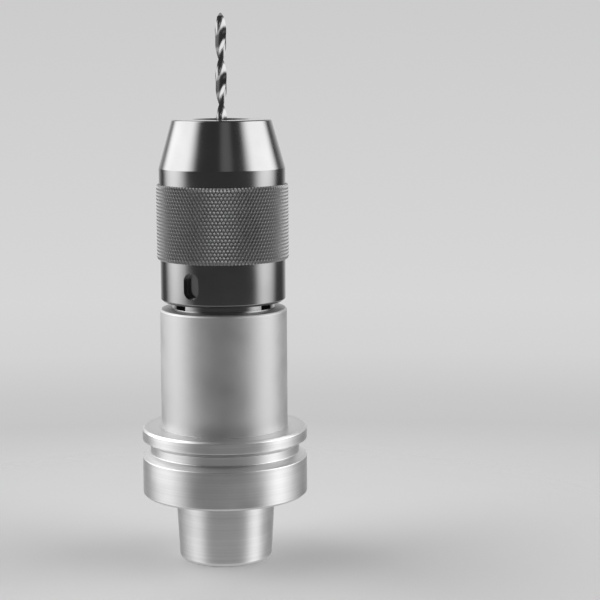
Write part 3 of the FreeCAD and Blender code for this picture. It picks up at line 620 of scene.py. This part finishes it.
# %% Knurled sleeve
DIAMONDS_AROUND = 112
ROWS = 11
KNURL_DEPTH = 0.42 * MM
KNURL_FLAT = 0.46 * MM
KNURL_BORE = 22.608 * MM
END_BEVEL = 0.55 * MM
diamond_width = 2 * math.pi * KNURL_RADIUS / DIAMONDS_AROUND
diamond_height = (KNURL_TOP - BAND_TOP) / ROWS
sheet = bmesh.new()
first = bmesh.ops.create_circle(sheet, cap_ends=True, segments=4, radius=0.5)["verts"]
for vert in first:
    across, up = round(vert.co.x * 2) / 2, round(vert.co.y * 2) / 2
    vert.co = Vector((across * diamond_width, up * diamond_height, 0))
second = bmesh.ops.duplicate(sheet, geom=sheet.verts[:] + sheet.edges[:] + sheet.faces[:])["geom"]
bmesh.ops.translate(
    sheet, vec=(diamond_width / 2, diamond_height / 2, 0),
    verts=[item for item in second if isinstance(item, bmesh.types.BMVert)],
)


def repeat(bm, step, count):
    """Copies everything in a bmesh along a step until there are as many as the count."""
    original = bm.verts[:] + bm.edges[:] + bm.faces[:]
    for index in range(1, count):
        copy = bmesh.ops.duplicate(bm, geom=original)["geom"]
        moved = [item for item in copy if isinstance(item, bmesh.types.BMVert)]
        bmesh.ops.translate(bm, vec=step * index, verts=moved)


repeat(sheet, Vector((0, diamond_height, 0)), ROWS + 1)
repeat(sheet, Vector((diamond_width, 0, 0)), DIAMONDS_AROUND)
bmesh.ops.remove_doubles(sheet, verts=sheet.verts[:], dist=diamond_width / 50)
bmesh.ops.inset_individual(
    sheet, faces=sheet.faces[:], thickness=KNURL_FLAT, depth=KNURL_DEPTH, use_even_offset=True,
)
for side, level in ((-1, 0.0), (1, KNURL_TOP - BAND_TOP)):
    bmesh.ops.bisect_plane(
        sheet, geom=sheet.verts[:] + sheet.edges[:] + sheet.faces[:], dist=1e-7,
        plane_co=(0, level, 0), plane_no=(0, side, 0), clear_outer=True,
    )
for vert in sheet.verts:
    angle = vert.co.x / KNURL_RADIUS
    reach = KNURL_RADIUS - KNURL_DEPTH + vert.co.z
    edge = min(vert.co.y, KNURL_TOP - BAND_TOP - vert.co.y)
    reach = min(reach, KNURL_RADIUS - END_BEVEL + max(edge, 0))
    vert.co = Vector((reach * math.cos(angle), reach * math.sin(angle), BAND_TOP + vert.co.y))
bmesh.ops.remove_doubles(sheet, verts=sheet.verts[:], dist=diamond_width / 50)
rims = [edge for edge in sheet.edges if edge.is_boundary]
rolled = bmesh.ops.extrude_edge_only(sheet, edges=rims)["geom"]
for item in rolled:
    if isinstance(item, bmesh.types.BMVert):
        flat = Vector((item.co.x, item.co.y, 0)).normalized() * KNURL_BORE
        item.co = Vector((flat.x, flat.y, item.co.z))
bmesh.ops.bridge_loops(sheet, edges=[edge for edge in sheet.edges if edge.is_boundary])
bmesh.ops.recalc_face_normals(sheet, faces=sheet.faces[:])
piece_from(sheet, "knurled_sleeve_cut", "sleeve", KNURL, ["knurled_sleeve"], smooth=12)

# %% [markdown]
# ## Twist drill
# The drill's section is a disc with two wide hollows. `spin` with a step along the axis is a screw
# motion, so the same operator that turned the shank now twists the section into flutes. The flutes run
# out softly into the plain shank, and the point is ground to a cone.

# %% Twist drill
LEAD = 33.5 * MM
FLUTES = 45 * MM
RUN_OUT = 4 * MM
WEB = 0.45 * MM
FLUTE_HALF = math.radians(62.5)
MARGIN_END = math.radians(72)
LAND_RELIEF = 0.06 * MM
TIP_HALF = math.radians(59)
START_TURN = math.radians(63.4)
SECTION = 64
TWIST_STEPS = 150


def flute_reach(angle):
    """Distance from the axis to the flute's wall, for an angle from the middle of a flute."""
    side = math.cos(FLUTE_HALF)
    centre = (DRILL_RADIUS**2 - WEB**2) / (2 * (DRILL_RADIUS * side - WEB))
    radius = centre - WEB
    return centre * math.cos(angle) - math.sqrt(max(radius**2 - (centre * math.sin(angle)) ** 2, 0))


def section_reach(angle, depth):
    """Radius of the drill's section at an angle; depth 0 is the round shank, 1 the full flute."""
    offset = (angle + math.pi / 2) % math.pi - math.pi / 2
    if abs(offset) < FLUTE_HALF:
        return DRILL_RADIUS + (min(flute_reach(offset), DRILL_RADIUS) - DRILL_RADIUS) * depth
    if 0 < offset < MARGIN_END:
        return DRILL_RADIUS
    return DRILL_RADIUS - LAND_RELIEF * depth


drill = bmesh.new()
start = DRILL_TOP - FLUTES
bmesh.ops.create_circle(drill, segments=SECTION, radius=DRILL_RADIUS)
bmesh.ops.translate(drill, vec=(0, 0, start), verts=drill.verts[:])
bmesh.ops.spin(
    drill, geom=drill.verts[:] + drill.edges[:], cent=(0, 0, 0), axis=(0, 0, 1),
    dvec=(0, 0, FLUTES / TWIST_STEPS), angle=2 * math.pi * FLUTES / LEAD,
    steps=TWIST_STEPS, use_merge=False,
)
for vert in drill.verts:
    rise = vert.co.z - start
    turn = 2 * math.pi * rise / LEAD + START_TURN
    angle = math.atan2(vert.co.y, vert.co.x)
    depth = min(max(rise / RUN_OUT, 0), 1)
    reach = section_reach(angle - turn, depth * depth * (3 - 2 * depth))
    vert.co.x = reach * math.cos(angle)
    vert.co.y = reach * math.sin(angle)
    vert.co.z = min(vert.co.z, DRILL_TOP - reach / math.tan(TIP_HALF))
bmesh.ops.remove_doubles(drill, verts=drill.verts[:], dist=0.002 * MM)
foot = [edge for edge in drill.edges if edge.is_boundary and edge.verts[0].co.z < start + 0.1 * MM]
shank_end = bmesh.ops.extrude_edge_only(drill, edges=foot)["geom"]
for item in shank_end:
    if isinstance(item, bmesh.types.BMVert):
        item.co.z = DRILL_BOTTOM
rims = [edge for edge in drill.edges if edge.is_boundary]
caps = bmesh.ops.holes_fill(drill, edges=rims, sides=0)["faces"]
tip = max(caps, key=lambda cap: cap.calc_center_median().z)
bmesh.ops.poke(drill, faces=[tip])["verts"][0].co.z = DRILL_TOP
bmesh.ops.recalc_face_normals(drill, faces=drill.faces[:])
piece_from(drill, "twist_drill_ground", "drill", DRILL, ["twist_drill"], smooth=35)

# %% [markdown]
# ## Inner pieces
# The jaws, guide, screw and bearing are turned and ground steel, and can hardly be seen. Their packed
# meshes already have the right shape, so they only get the right finish.

# %% Finishes of the inner pieces
FINISHES = {
    "jaw_1": HARD, "jaw_2": HARD, "jaw_3": HARD, "jaw_guide": HARD, "clamping_screw": HARD,
    "retaining_nut": HARD, "lower_race": BALL, "upper_race": BALL, "bearing_balls": BALL,
    "guide_pins": BALL, "ball_cage": BRASS, "rear_plug": DARK, "nut_screw": DARK,
}
for node, finish in FINISHES.items():
    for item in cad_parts[node].material_slots:
        item.material = finish
print("nodes with a finish:", len(FINISHES))

# %% [markdown]
# ## Rubber and felt
# The plug's seal is black rubber, which is dull and even. The dust ring is felt: a fine noise in both the
# colour and the bump reads as pressed fibres, and no hair is needed on a ring this small.

# %% Rubber and felt
rubber = new_material("seal_rubber")
shader = add_node(rubber, "ShaderNodeBsdfPrincipled")
shader.inputs["Base Color"].default_value = (0.02, 0.02, 0.02, 1)
out = add_node(rubber, "ShaderNodeOutputMaterial")
link(rubber, shader.outputs["BSDF"], out.inputs["Surface"])
grain = noise(rubber, add_node(rubber, "ShaderNodeTexCoord").outputs["Object"], 3000)
link(rubber, ranged(rubber, grain, 0.5, 0.7), shader.inputs["Roughness"])
felt = new_material("grey_felt")
shader = add_node(felt, "ShaderNodeBsdfPrincipled")
shader.inputs["Roughness"].default_value = 0.95
out = add_node(felt, "ShaderNodeOutputMaterial")
link(felt, shader.outputs["BSDF"], out.inputs["Surface"])
fibres = noise(felt, add_node(felt, "ShaderNodeTexCoord").outputs["Object"], 5000, detail=6)
colour = add_node(felt, "ShaderNodeValToRGB")
colour.color_ramp.elements[0].color = (0.2, 0.19, 0.17, 1)
colour.color_ramp.elements[1].color = (0.42, 0.4, 0.37, 1)
link(felt, fibres, colour.inputs["Fac"])
link(felt, colour.outputs["Color"], shader.inputs["Base Color"])
link(felt, bumped(felt, fibres, 0.6, 0.05 * MM), shader.inputs["Normal"])
for node, finish in (("plug_seal", rubber), ("dust_ring", felt)):
    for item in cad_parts[node].material_slots:
        item.material = finish
